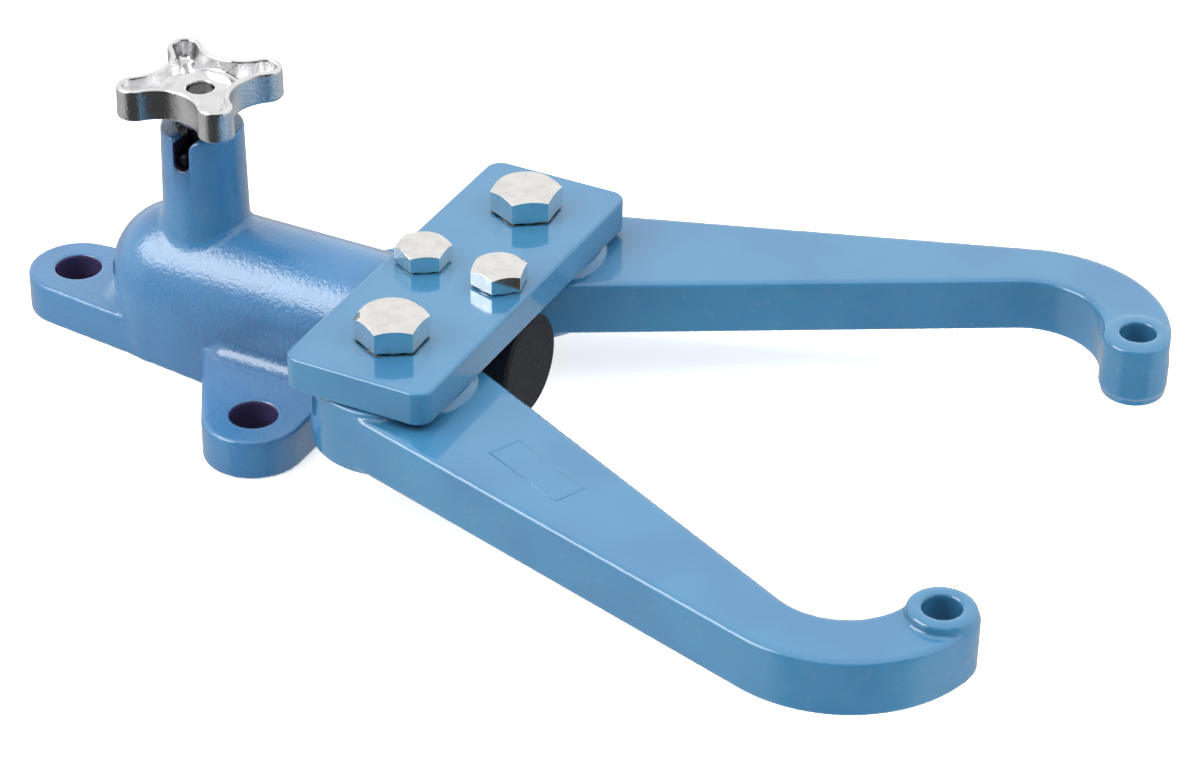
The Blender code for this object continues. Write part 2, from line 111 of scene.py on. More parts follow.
def arc(cx, cy, radius, start_deg, end_deg, step_deg=1.0):
    steps = max(2, int(abs(end_deg - start_deg) / step_deg))
    angles = np.radians(np.linspace(start_deg, end_deg, steps + 1))
    return [(cx + radius * math.cos(a), cy + radius * math.sin(a)) for a in angles]


def outline_field(x, y, outline):
    """Distance to a closed outline, negative inside."""
    x, y = np.broadcast_arrays(np.asarray(x, float), np.asarray(y, float))
    nearest = np.full(x.shape, 1e12)
    inside = np.zeros(x.shape, bool)
    for (ax, ay), (bx, by) in zip(outline, outline[1:] + outline[:1]):
        ex, ey = bx - ax, by - ay
        length2 = ex * ex + ey * ey
        if length2 < 1e-12:
            continue
        px, py = x - ax, y - ay
        t = np.clip((px * ex + py * ey) / length2, 0, 1)
        nearest = np.minimum(nearest, (px - t * ex) ** 2 + (py - t * ey) ** 2)
        if ay != by:
            crosses = (ay > y) != (by > y)
            inside ^= crosses & (px < ex * (y - ay) / ey)
    return np.where(inside, -1, 1) * np.sqrt(nearest)


CORNERS = [(i, j, k) for i in (0, 1) for j in (0, 1) for k in (0, 1)]


def cell_corner(grid, corner):
    i, j, k = corner
    nx, ny, nz = grid.shape
    return grid[i:nx - 1 + i, j:ny - 1 + j, k:nz - 1 + k]


def field_mesh(name, field, xs, ys, zs):
    """Closed mesh where the field is zero, on a grid whose steps may vary, with every
    vertex then moved along the field's slope onto the surface itself."""
    grid = field(xs[:, None, None], ys[None, :, None], zs[None, None, :])
    inside = grid < 0
    count = sum(cell_corner(inside, c).astype(np.int8) for c in CORNERS)
    active = (count > 0) & (count < 8)
    index = np.full(active.shape, -1, int)
    index[active] = np.arange(active.sum())
    cells = np.array(np.nonzero(active))
    axes = (xs, ys, zs)
    total = np.zeros((cells.shape[1], 3))
    hits = np.zeros(cells.shape[1])

    def corner_point(corner):
        at = [cells[n] + corner[n] for n in range(3)]
        place = np.stack([axes[n][at[n]] for n in range(3)], 1)
        return place, grid[at[0], at[1], at[2]]

    for a in CORNERS:
        for n in range(3):
            if a[n]:
                continue
            b = tuple(1 if m == n else a[m] for m in range(3))
            (pa, va), (pb, vb) = corner_point(a), corner_point(b)
            crossed = (va < 0) != (vb < 0)
            t = np.where(crossed, va / np.where(crossed, va - vb, 1), 0)[:, None]
            total += np.where(crossed[:, None], pa + t * (pb - pa), 0)
            hits += crossed
    points = total / hits[:, None]

    faces = []
    for n in range(3):
        u, v = (n + 1) % 3, (n + 2) % 3
        low = [slice(1, -1)] * 3
        low[n] = slice(0, -1)
        high = list(low)
        high[n] = slice(1, None)
        start, end = inside[tuple(low)], inside[tuple(high)]
        where = np.array(np.nonzero(start != end))
        leaving = start[tuple(where)]
        base = where.copy()
        for m in (u, v):
            base[m] += 1
        quad = []
        for du, dv in ((-1, -1), (0, -1), (0, 0), (-1, 0)):
            at = base.copy()
            at[u] += du
            at[v] += dv
            quad.append(index[tuple(at)])
        quad = np.stack(quad, 1)
        quad[~leaving] = quad[~leaving][:, ::-1]
        faces.append(quad)
    faces = np.concatenate(faces)

    def value(p):
        return field(p[:, 0], p[:, 1], p[:, 2])

    for _ in range(4):
        here = value(points)
        slope = np.stack([(value(points + d) - value(points - d)) / 0.04
                          for d in np.eye(3) * 0.02], 1)
        move = here[:, None] * slope / np.maximum((slope ** 2).sum(1), 0.2)[:, None]
        points -= np.clip(move, -0.6, 0.6)
    mesh = bpy.data.meshes.new(name)
    mesh.from_pydata((points * MM).tolist(), [], faces.tolist())
    mesh.shade_smooth()
    return mesh


def steps(*stops):
    lines = [stops[0]]
    for step, stop in zip(stops[1::2], stops[2::2]):
        count = max(1, round((stop - lines[-1]) / (step * COARSE)))
        lines += list(np.linspace(lines[-1], stop, count + 1)[1:])
    return np.array(lines, float)


# ---------------------------------------------------------------- other meshes
def skin(name, rings, closed=False, bend=25.0):
    """Mesh through rings of equally many points, in millimetres, with sharp edges kept."""
    bm = bmesh.new()
    loops = [[bm.verts.new([c * MM for c in p]) for p in ring] for ring in rings]
    pairs = list(zip(loops, loops[1:]))
    if closed:
        pairs.append((loops[-1], loops[0]))
    else:
        bm.faces.new(reversed(loops[0]))
        bm.faces.new(loops[-1])
    for low, high in pairs:
        for i in range(len(low)):
            j = (i + 1) % len(low)
            bm.faces.new((low[i], low[j], high[j], high[i]))
    bmesh.ops.recalc_face_normals(bm, faces=bm.faces)
    mesh = bpy.data.meshes.new(name)
    bm.to_mesh(mesh)
    bm.free()
    mesh.shade_smooth()
    mesh.set_sharp_from_angle(angle=math.radians(bend))
    return mesh


def turned_rings(profile, sides):
    """Rings about Z. Each radius or height is a number or a function of the angle."""
    angles = [math.tau * i / sides for i in range(sides)]

    def at(v, a):
        return v(a) if callable(v) else v

    return [[(at(r, a) * math.cos(a), at(r, a) * math.sin(a), at(z, a)) for a in angles]
            for r, z in profile]


def soften(obj, width, segments=3, limit_deg=28.0, harden=True):
    bevel = obj.modifiers.new("edge", "BEVEL")
    bevel.width = width * MM
    bevel.segments = segments
    bevel.limit_method = "ANGLE"
    bevel.angle_limit = math.radians(limit_deg)
    bevel.harden_normals = harden


def piece(name, mesh, body, material, replaces=(), place=Matrix.Identity(4)):
    """A new piece that rides on a body; its mesh is put where place says."""
    mesh.transform(place)
    obj = bpy.data.objects.new(name, mesh)
    bpy.context.scene.collection.objects.link(obj)
    mesh.materials.clear()
    mesh.materials.append(material)
    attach(obj, body)
    if replaces:
        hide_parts(*replaces)
    return obj


def at_mm(x, y, z, turn_deg=0.0, over=False):
    place = Matrix.Translation((x * MM, y * MM, z * MM))
    place @= Matrix.Rotation(math.radians(turn_deg), 4, "Z")
    if over:
        place @= Matrix.Rotation(math.pi, 4, "X")
    return place


# ---------------------------------------------------------------- materials
class Nodes:
    """Short hand for a material's node tree."""

    def __init__(self, name):
        self.material = bpy.data.materials.new(name)
        self.material.use_nodes = True
        self.tree = self.material.node_tree
        self.shader = self.tree.nodes["Principled BSDF"]
        self.spot = self.add("ShaderNodeTexCoord").outputs["Object"]

    def add(self, kind, **settings):
        node = self.tree.nodes.new(kind)
        for key, value in settings.items():
            if hasattr(node, key):
                setattr(node, key, value)
            else:
                self.put(value, node.inputs[key])
        return node

    def put(self, value, socket):
        if isinstance(value, bpy.types.NodeSocket):
            self.tree.links.new(value, socket)
        else:
            socket.default_value = value

    def set(self, **values):
        for key, value in values.items():
            self.put(value, self.shader.inputs[key.replace("_", " ")])

    def math(self, operation, a, b=0.0, c=None, clamp=False):
        node = self.add("ShaderNodeMath", operation=operation, use_clamp=clamp)
        self.put(a, node.inputs[0])
        self.put(b, node.inputs[1])
        if c is not None:
            self.put(c, node.inputs[2])
        return node.outputs[0]

    def stretch(self, scale, turn=(0.0, 0.0, 0.0)):
        node = self.add("ShaderNodeMapping")
        self.put(self.spot, node.inputs["Vector"])
        node.inputs["Rotation"].default_value = turn
        node.inputs["Scale"].default_value = scale
        return node.outputs[0]

    def noise(self, size_mm, detail=2.0, rough=0.5, vector=None):
        """Noise whose lumps are about size_mm across, from 0 to 1."""
        node = self.add("ShaderNodeTexNoise")
        self.put(vector or self.spot, node.inputs["Vector"])
        node.inputs["Scale"].default_value = 1.0 / (size_mm * MM)
        node.inputs["Detail"].default_value = detail
        node.inputs["Roughness"].default_value = rough
        return node.outputs["Fac"]

    def span(self, value, low, high, to_low=0.0, to_high=1.0):
        node = self.add("ShaderNodeMapRange", interpolation_type="SMOOTHSTEP")
        for socket, v in zip(("Value", "From Min", "From Max", "To Min", "To Max"),
                             (value, low, high, to_low, to_high)):
            self.put(v, node.inputs[socket])
        return node.outputs[0]

    def mix(self, share, a, b):
        node = self.add("ShaderNodeMix", data_type="RGBA")
        self.put(share, node.inputs[0])
        self.put(a, node.inputs[6])
        self.put(b, node.inputs[7])
        return node.outputs[2]

    def bump(self, height, depth_mm, strength=1.0, normal=None):
        node = self.add("ShaderNodeBump")
        self.put(height, node.inputs["Height"])
        node.inputs["Strength"].default_value = strength
        node.inputs["Distance"].default_value = depth_mm * MM
        if normal is not None:
            self.put(normal, node.inputs["Normal"])
        return node.outputs[0]


def rgb(r, g, b):
    return (r, g, b, 1.0)


PAINT = rgb(0.038, 0.166, 0.306)
PAINT_DEEP = rgb(0.032, 0.142, 0.280)


def paint(name, swell_mm, grain_mm, grind=False, rings=(), slot=False, light=PAINT, deep=PAINT_DEEP):
    """Glossy enamel over a casting. The rings are (x, y, flats, turn) of bolt heads; each gets a
    ragged dark ring painted on the plate round its base. With a slot, painted shade darkens the
    turret's bore and slot and the lug holes, and most of the coat comes off inside the turret."""
    n = Nodes(name)
    colour = n.mix(n.span(n.noise(42), 0.35, 0.68), light, deep)
    normal = n.bump(n.noise(16, 1), swell_mm)
    normal = n.bump(n.noise(1.7, 3, 0.6), grain_mm, normal=normal)
    if grind:
        side = n.add("ShaderNodeSeparateXYZ")
        n.put(n.add("ShaderNodeNewGeometry").outputs["Normal"], side.inputs[0])
        wall = n.math("SUBTRACT", 1.0, n.math("ABSOLUTE", side.outputs[2]), clamp=True)
        streak = n.noise(1.6, 2, 0.6, n.stretch((1.0, 1.0, 0.16), (0.0, 0.95, 0.0)))
        normal = n.bump(n.math("MULTIPLY", streak, wall), 0.018, normal=normal)
    rough = n.span(n.noise(6, 3), 0.3, 0.7, 0.16, 0.28)
    # Each ring darkens the plate in a ragged band right round a bolt head's base.
    for x, y, flats, turn in rings:
        place = n.add("ShaderNodeMapping", vector_type="TEXTURE")
        n.put(n.spot, place.inputs["Vector"])
        place.inputs["Location"].default_value = (x * MM, y * MM, 0)
        split = n.add("ShaderNodeSeparateXYZ")
        n.put(place.outputs[0], split.inputs[0])
        edge = None
        for side_deg in (0, 60, 120):
            a = math.radians(turn + side_deg + 30)
            along = n.math("ADD", n.math("MULTIPLY", split.outputs[0], math.cos(a)),
                           n.math("MULTIPLY", split.outputs[1], math.sin(a)))
            along = n.math("ABSOLUTE", along)
            edge = along if edge is None else n.math("MAXIMUM", edge, along)
        ragged = n.math("MULTIPLY", n.math("SUBTRACT", n.noise(1.8, 3, 0.7), 0.5), 2.6 * MM)
        edge = n.math("ADD", edge, ragged)
        half = flats / 2 * MM
        near = n.span(edge, half - 0.1 * MM, half + 0.5 * MM, 1.0, 0.0)
        colour = n.mix(near, colour, rgb(0.014, 0.050, 0.080))
    coat = 1.0
    if slot:
        # Painted shade: the turret's bore and slot, which sit in deep shade, get a near-black colour
        # and lose most of their coat; inside is this painted-shade mask.
        split = n.add("ShaderNodeSeparateXYZ")
        n.put(n.spot, split.inputs[0])
        x, y, z = (split.outputs[i] for i in range(3))
        rho = n.math("SQRT", n.math("ADD", n.math("MULTIPLY", x, x), n.math("MULTIPLY", y, y)))
        gap = n.math("MULTIPLY", n.span(n.math("ABSOLUTE", x), 3.3 * MM, 3.9 * MM, 1.0, 0.0),
                     n.span(rho, 15.6 * MM, 16.4 * MM, 1.0, 0.0))
        below_rim = n.span(z, (TURRET_TOP - 2.6) * MM, (TURRET_TOP - 1.2) * MM, 1.0, 0.0)
        gap = n.math("MULTIPLY", gap, below_rim)
        bore_shade = n.span(rho, 9.0 * MM, 10.0 * MM, 1.0, 0.0)
        inside = n.math("MULTIPLY", n.math("MAXIMUM", gap, bore_shade), n.span(z, 60 * MM, 62 * MM))
        colour = n.mix(inside, colour, rgb(0.010, 0.009, 0.024))
        coat = n.math("SUBTRACT", 1.0, n.math("MULTIPLY", inside, 0.9))
        # Painted shade: the lug holes' walls are coloured dark purple, standing in for the shade inside
        # them.
        for cx, cy in ((REAR_LUG_X, 0), (SIDE_LUG_X, -SIDE_LUG_Y), (SIDE_LUG_X, SIDE_LUG_Y)):
            dx, dy = n.math("SUBTRACT", x, cx * MM), n.math("SUBTRACT", y, cy * MM)
            lug_hole_shade = n.math("SQRT", n.math("ADD", n.math("MULTIPLY", dx, dx), n.math("MULTIPLY", dy, dy)))
            lug_hole_shade = n.span(lug_hole_shade, (LUG_HOLE_R + 0.1) * MM, (LUG_HOLE_R + 0.5) * MM, 1.0, 0.0)
            colour = n.mix(lug_hole_shade, colour, rgb(0.060, 0.048, 0.130))
    n.set(Base_Color=colour, Roughness=rough, Normal=normal, Metallic=0.0, IOR=1.5,
          Coat_Weight=coat, Coat_Roughness=0.015, Coat_IOR=1.55, Coat_Normal=normal)
    return n.material


def zinc():
    n = Nodes("zinc_plate")
    cloud = n.span(n.noise(5, 3), 0.35, 0.7)
    colour = n.mix(cloud, rgb(0.90, 0.89, 0.86), rgb(0.80, 0.79, 0.78))
    speck = n.span(n.noise(0.75, 2), 0.70, 0.76)
    colour = n.mix(n.math("MULTIPLY", speck, 0.6), colour, rgb(0.30, 0.31, 0.33))
    warm = n.span(n.noise(9, 1), 0.5, 0.75, 0.0, 0.5)
    colour = n.mix(warm, colour, rgb(0.88, 0.84, 0.76))
    normal = n.bump(n.noise(3.0, 2), 0.012)
    normal = n.bump(n.noise(0.5, 2), 0.004, normal=normal)
    n.set(Base_Color=colour, Metallic=1.0, Normal=normal,
          Roughness=n.span(n.noise(2.5, 3), 0.3, 0.75, 0.10, 0.26))
    return n.material


def chrome():
    n = Nodes("chrome")
    colour = n.mix(n.span(n.noise(7, 2), 0.35, 0.7), rgb(0.88, 0.88, 0.88), rgb(0.80, 0.80, 0.82))
    normal = n.bump(n.noise(7, 1), 0.05)
    side = n.add("ShaderNodeSeparateXYZ")
    n.put(n.add("ShaderNodeNewGeometry").outputs["Normal"], side.inputs[0])
    wall = n.span(n.math("ABSOLUTE", side.outputs[2]), 0.35, 0.75, 1.0, 0.12)
    normal = n.bump(n.math("MULTIPLY", n.noise(1.3, 3, 0.75), wall), 0.24, normal=normal)
    n.set(Base_Color=colour, Metallic=1.0, Normal=normal,
          Roughness=n.span(n.noise(1.5, 3), 0.3, 0.7, 0.07, 0.16))
    return n.material


def blackened():
    n = Nodes("blackened_steel")
    colour = n.mix(n.span(n.noise(0.8, 4, 0.65), 0.35, 0.7),
                   rgb(0.007, 0.008, 0.012), rgb(0.013, 0.014, 0.020))
    colour = n.mix(n.span(n.noise(14, 2), 0.45, 0.7, 0.0, 0.5), colour, rgb(0.010, 0.011, 0.016))
    normal = n.bump(n.noise(0.6, 3, 0.6), 0.012)
    turning = n.noise(0.5, 1, 0.5, n.stretch((1.0, 0.02, 0.02)))
    normal = n.bump(turning, 0.006, normal=normal)
    n.set(Base_Color=colour, Metallic=0.0, Normal=normal, IOR=1.4, Specular_IOR_Level=0.35,
          Roughness=n.span(n.noise(1.2, 3), 0.3, 0.7, 0.5, 0.68))
    return n.material


def bare_steel(name, deep, light):
    n = Nodes(name)
    colour = n.mix(n.span(n.noise(2.0, 4), 0.3, 0.7), deep, light)
    oily = n.span(n.noise(4, 2), 0.55, 0.75, 0.0, 0.6)
    colour = n.mix(oily, colour, deep)
    normal = n.bump(n.noise(0.4, 2, 0.5, n.stretch((1.0, 1.0, 3.0))), 0.006)
    n.set(Base_Color=colour, Metallic=1.0, Normal=normal,
          Roughness=n.span(n.noise(1.0, 3), 0.3, 0.7, 0.28, 0.5))
    return n.material


# ---------------------------------------------------------------- bracket
AXIS_Z = JOINTS["spindle_turn"]["pos_m"][2] / MM
SPINDLE_RADIUS = 17.0
BARREL_R, FOOT_HALF, DOME_X = 27.3, 28.9, -12.0
LUG_R, LUG_HOLE_R = 19.5, 9.0
REAR_LUG_X, SIDE_LUG_X, SIDE_LUG_Y = -61.7, 54.2, 57.9
LUG_TOP, LUG_ROOT_X = 16.2, 14.0
bracket_low, bracket_high = box_mm("bench_bracket")
TURRET_TOP = bracket_high[2]
BARREL_FRONT = bracket_high[0]
SLOT_DEPTH, SLOT_HALF = 10.0, 3.0       # depth to the centre of the slot's round end

rear_reach = DOME_X - REAR_LUG_X
REAR_HALF = FOOT_HALF - 3.24            # the foot narrows straight to the rear lug
rear_lean = math.degrees(math.asin((REAR_HALF - LUG_R) / rear_reach))
REAR_OUTLINE = (arc(REAR_LUG_X, 0, LUG_R, 90 + rear_lean, 270 - rear_lean)
                + arc(DOME_X, 0, REAR_HALF, rear_lean - 90, 90 - rear_lean))
flare = math.atan2(SIDE_LUG_Y - FOOT_HALF, SIDE_LUG_X - LUG_ROOT_X)
flare += math.asin(LUG_R / math.hypot(SIDE_LUG_Y - FOOT_HALF, SIDE_LUG_X - LUG_ROOT_X))
SIDE_CORE = [(SIDE_LUG_X, SIDE_LUG_Y), (SIDE_LUG_X - SIDE_LUG_Y / math.tan(flare), 0.0),
             (SIDE_LUG_X, 0.0)]


def slot_field(x, z):
    """The turret's slot, cut down from its rim; its mouth opens wider to the front."""
    sunk = np.hypot(x, np.minimum(z - (TURRET_TOP - SLOT_DEPTH), 0)) - SLOT_HALF
    mouth = np.where(x > 0, 4.6, 2.4)
    return round_cut(z - TURRET_TOP, sunk, mouth)


def bracket_field(x, y, z):
    q = np.hypot(np.minimum(x - DOME_X, 0), y)
    along = np.clip((x - DOME_X) / (LUG_ROOT_X - DOME_X), 0, 1)
    foot_half = REAR_HALF + (FOOT_HALF - REAR_HALF) * along
    wall = q - (foot_half - (foot_half - BARREL_R) * z / AXIS_Z)
    body = np.where(z > AXIS_Z, np.hypot(q, z - AXIS_Z) - BARREL_R, wall)
    body = round_meet(body, x - BARREL_FRONT, 1.2)
    side = outline_field(x, np.abs(y), SIDE_CORE) - LUG_R
    outline = np.minimum(side, outline_field(x, y, REAR_OUTLINE))
    foot = round_meet(outline, z - LUG_TOP, 1.5)
    cove = 0.8 + 5.7 * smooth_step(LUG_TOP - 1.6, LUG_TOP + 0.2, z) * smooth_step(0.5, 7.0, -outline)
    solid = round_meet(fillet_union(body, foot, cove), -z, 0.8)
    rho = np.hypot(x, y)
    turret = rho - (17.2 - 1.4 * (z - AXIS_Z) / (TURRET_TOP - AXIS_Z))
    turret = round_meet(turret, slot_field(x, z), 1.0)
    solid = fillet_union(solid, np.maximum(turret, AXIS_Z - 8 - z), 2.8)
    bores = np.maximum(rho - 8.3, z - 80.0)
    bores = np.minimum(bores, rho - 5.3)
    bores = np.minimum(np.maximum(bores, AXIS_Z - z), np.maximum(rho - 10.0, TURRET_TOP - 3.0 - z))
    solid = round_cut(solid, bores, 0.6)
    journal = np.hypot(y, z - AXIS_Z) - (SPINDLE_RADIUS + 0.3)
    solid = round_cut(solid, np.maximum(journal, -22.3 - x), 0.5)
    holes = np.minimum(np.hypot(x - REAR_LUG_X, y), np.hypot(x - SIDE_LUG_X, np.abs(y) - SIDE_LUG_Y))
    solid = round_cut(solid, holes - LUG_HOLE_R, 1.0)
    set_hole = np.maximum(np.hypot(x - 42.0, y) - 4.2, z - AXIS_Z)
    return np.maximum(solid, -set_hole)


# Painted shade: the casting's light and deep colours are a darker, bluer copy of PAINT and PAINT_DEEP,
# standing in for its shaded faces; slot=True adds the painted shade in the turret and lug holes.
CAST_PAINT = paint("blue_paint_cast", 0.16, 0.22, slot=True, light=rgb(0.036, 0.152, 0.312),
                   deep=rgb(0.030, 0.124, 0.274))
ARM_PAINT = paint("blue_paint_arm", 0.05, 0.010, grind=True)

xs = steps(bracket_low[0] - 2, 1.1, -19, 0.75, 19, 1.1, BARREL_FRONT + 2)
ys = steps(bracket_low[1] - 2, 1.1, -19, 0.75, 19, 1.1, bracket_high[1] + 2)
zs = steps(-2.0, 1.0, 80, 0.7, TURRET_TOP + 2)
piece("bracket_casting", field_mesh("bracket_casting", bracket_field, xs, ys, zs), "bracket",
      CAST_PAINT, ["bench_bracket"])


# ---------------------------------------------------------------- arms
WEB_EYE_R, EYE_R, WEB_HALF, EYE_HALF = 29.2, 30.0, 11.0, 13.3
HOOK_X, HOOK_Y, HOOK_OUT, HOOK_IN = 195.0, 1.5, 52.5, 27.4
ARM_REACH, BOSS_R, BOSS_TOP, TIP_BORE, PIVOT_BORE = 235.2, 12.2, 14.7, 6.75, 8.5


def arm_outline():
    gap = math.hypot(HOOK_X, HOOK_Y)
    along = math.degrees(math.atan2(HOOK_Y, HOOK_X))
    outer = along - math.degrees(math.asin((HOOK_OUT - WEB_EYE_R) / gap))
    inner = along - math.degrees(math.asin((WEB_EYE_R + HOOK_IN) / gap))
    points = arc(0, 0, WEB_EYE_R, inner + 90, outer + 270)
    points += arc(HOOK_X, HOOK_Y, HOOK_OUT, outer - 90, 0)
    points += arc(HOOK_X + (HOOK_OUT + HOOK_IN) / 2, HOOK_Y, (HOOK_OUT - HOOK_IN) / 2, 0, 180, 3.0)[1:]
    points += arc(HOOK_X, HOOK_Y, HOOK_IN, 0, inner - 90)[1:]
    return points


ARM_OUTLINE = arm_outline()


def arm_field(x, y, z):
    solid = round_meet(outline_field(x, y, ARM_OUTLINE), np.abs(z) - WEB_HALF, 1.7)
    eye = round_meet(np.hypot(x, y) - EYE_R, np.abs(z) - EYE_HALF, 1.2)
    solid = fillet_union(solid, eye, 1.6)
    tip = np.hypot(x - ARM_REACH, y)
    boss = np.maximum(round_meet(tip - BOSS_R, z - BOSS_TOP, 2.0), -z)
    solid = fillet_union(solid, boss, 1.4)
    ring = np.maximum(round_meet(tip - 11.6, -z - WEB_HALF - 0.35, 0.35), z)
    solid = fillet_union(solid, ring, 0.3)
    solid = round_cut(solid, tip - TIP_BORE, 1.3)
    return round_cut(solid, np.hypot(x, y) - PIVOT_BORE, 0.8)


arm_mesh = field_mesh("arm", arm_field, steps(-32, 1.3, 218, 0.9, 250), steps(-55, 1.3, 33),
                      steps(-15.0, 1.0, 17.0))


def panel_mesh():
    """Thin raised line round a slanted rectangle, cast on the arm's boss side."""
    centre, tilt = Vector((78.2, -15.6)), math.radians(-14.4)
    rings = []
    for across, up in ((-0.55, -0.3), (-0.32, 0.22), (0.0, 0.34), (0.32, 0.22), (0.55, -0.3)):
        ring = []
        for sx, sy in ((1, 1), (-1, 1), (-1, -1), (1, -1)):
            p = Vector((sx * (18.6 + across), sy * (6.4 + across)))
            p.rotate(Matrix.Rotation(tilt, 2))
            ring.append((centre.x + p.x, centre.y + p.y, WEB_HALF + up))
        rings.append(ring)
    return skin("panel", rings, closed=True, bend=60)


for side, body, turn, over in (("near", "near_arm", -10.2, False), ("far", "far_arm", 12.7, True)):
    pivot = [c / MM for c in JOINTS[f"{body}_swing"]["pos_m"]]
    place = at_mm(*pivot, turn, over)
    piece(f"arm_{side}_casting", arm_mesh.copy(), body, ARM_PAINT, [f"arm_{side}"], place)
    piece(f"arm_{side}_panel", panel_mesh(), body, ARM_PAINT, place=place)


# ---------------------------------------------------------------- clamp plate
plate_low, plate_high = box_mm("clamp_plate")
PLATE_CORNER = 6.5
# flats, head height, shank radius, turn in degrees
BOLTS = {
    "pivot_bolt_near": (24.0, 10.0, 7.9, -27.9),
    "pivot_bolt_far": (24.0, 10.0, 7.9, 35.1),
    "plate_screw_rear": (19.0, 7.5, 5.9, 32.9),
    "plate_screw_front": (19.0, 7.5, 5.9, -16.4),
}


def bolt_centre(node):
    low, high = box_mm(node)
    return (low[0] + high[0]) / 2, (low[1] + high[1]) / 2


def plate_mesh():
    half = (plate_high - plate_low) / 2
    centre = (plate_high + plate_low) / 2
    outline = []
    for sx, sy, start in ((1, 1, 0), (-1, 1, 90), (-1, -1, 180), (1, -1, 270)):
        outline += arc(sx * (half[0] - PLATE_CORNER), sy * (half[1] - PLATE_CORNER),
                       PLATE_CORNER, start, start + 90, 6)
    rings = [[(centre[0] + x, centre[1] + y, z) for x, y in outline]
             for z in (plate_low[2], plate_high[2])]
    return skin("plate_casting", rings)


rings = [(*bolt_centre(node), spec[0], spec[3]) for node, spec in BOLTS.items()
         if node.startswith("pivot")]
PLATE_PAINT = paint("blue_paint_plate", 0.03, 0.006, rings=rings)
plate = piece("plate_casting", plate_mesh(), "head", PLATE_PAINT, ["clamp_plate"])
cutters = []
for node, spec in BOLTS.items():
    x, y = bolt_centre(node)
    profile = [(spec[2] + 0.3, plate_low[2] - 2), (spec[2] + 0.3, plate_high[2] + 2)]
    cutter = bpy.data.objects.new("hole_" + node, skin("hole", turned_rings(profile, 48)))
    bpy.context.scene.collection.objects.link(cutter)
    cutter.location = (x * MM, y * MM, 0)
    cutters.append(cutter)
soften(plate, 1.1, 4, harden=False)
bpy.context.view_layer.update()
for cutter in cutters:
    boolean = plate.modifiers.new("hole", "BOOLEAN")
    boolean.operation = "DIFFERENCE"
    boolean.solver = "EXACT"
    boolean.object = cutter
plate.modifiers.new("flat", "WEIGHTED_NORMAL").keep_sharp = True
depsgraph = bpy.context.evaluated_depsgraph_get()
finished = bpy.data.meshes.new_from_object(plate.evaluated_get(depsgraph))
plate.modifiers.clear()
plate.data = finished
for cutter in cutters:
    bpy.data.objects.remove(cutter)


# ---------------------------------------------------------------- fasteners
def hexagon(flats):
    def radius(a):
        return flats / 2 / math.cos(a % (math.pi / 3) - math.pi / 6)
    return radius


def thread(major, pitch, depth, end_z, top_z):
    """Profile of a shank with a real screw thread up to top_z, then plain."""
    profile = [(major - 1.4, end_z), (major - 1.4, end_z + 0.01)]
    rows = round((top_z - end_z) / (pitch / 8))
    for row in range(1, rows + 1):
        z = end_z + (top_z - end_z) * row / rows

        def radius(a, z=z):
            phase = (z / pitch - a / math.tau) % 1.0
            cut = np.clip(1.3 - abs(phase - 0.5) * 3.2, 0, 1) * depth
            cut *= min(1.0, (top_z - z) / pitch)
            return min(major - cut, major - 1.4 + (z - end_z))
        profile.append((radius, z))
    return profile


def bolt_mesh(flats, height, shank_r, length, threaded):
    """Hex bolt, its own zero on the plate: shank, washer face, hex with chamfered crown."""
    corner, crown_r, washer_r = hexagon(flats), flats * 0.475, flats * 0.475
    rise = math.tan(math.radians(30))
    if threaded:
        profile = thread(shank_r, 2.0, 1.1, -length, threaded - length)
    else:
        profile = [(shank_r - 1.2, -length), (shank_r, 1.2 - length)]
    profile += [(shank_r, -0.05), (washer_r, 0.0), (washer_r, 0.55)]
    profile += [(lambda a: corner(a) - 0.25, 0.56), (corner, 0.9)]
    profile += [(corner, lambda a: height - (corner(a) - crown_r) * rise), (crown_r, height)]
    return skin("bolt", turned_rings(profile, 96), bend=20)


ZINC, CHROME, BLACK = zinc(), chrome(), blackened()
STEEL = bare_steel("bare_steel", rgb(0.085, 0.085, 0.085), rgb(0.15, 0.148, 0.145))
OILED = bare_steel("oiled_steel", rgb(0.020, 0.018, 0.026), rgb(0.035, 0.030, 0.040))
for node, (flats, height, shank_r, turn) in BOLTS.items():
    low, high = box_mm(node)
    x, y = bolt_centre(node)
    zero = high[2] - height
    mesh = bolt_mesh(flats, height, shank_r, zero - low[2], 34.0 if node.startswith("pivot") else 0.0)
    bolt = piece("hex_" + node, mesh, "head", ZINC, [node], at_mm(x, y, zero, turn))
    soften(bolt, 0.22, 2, 24)

for side in ("near", "far"):
    low, high = box_mm(f"pivot_nut_{side}")
    x, y = bolt_centre(f"pivot_bolt_{side}")
    corner, flat_r, rise = hexagon(24.0), 11.4, math.tan(math.radians(30))
    half = (high[2] - low[2]) / 2
    section = [(8.15, half - 0.9), (9.1, half), (flat_r, half),
               (corner, lambda a: half - (corner(a) - flat_r) * rise),
               (corner, lambda a: (corner(a) - flat_r) * rise - half),
               (flat_r, -half), (9.1, -half), (8.15, 0.9 - half)]
    nut = piece(f"hex_nut_{side}", skin("nut", turned_rings(section, 96), closed=True, bend=20), "head",
                ZINC, [f"pivot_nut_{side}"], at_mm(x, y, (low[2] + high[2]) / 2))
    soften(nut, 0.2, 2, 24)
    low, high = box_mm(f"pivot_washer_{side}")
    section = [(8.2, low[2]), (15.0, low[2]), (15.0, high[2]), (8.2, high[2])]
    washer = piece(f"flat_washer_{side}", skin("washer", turned_rings(section, 96), closed=True),
                   "head", ZINC, [f"pivot_washer_{side}"], at_mm(x, y, 0))
    soften(washer, 0.35, 3)


# ---------------------------------------------------------------- star knob
KNOB_TOP, KNOB_BOTTOM = box_mm("star_knob")[1][2], 105.0
LOBE_R, LOBE_TIP, WAIST = 31.8, 6.8, 16.2


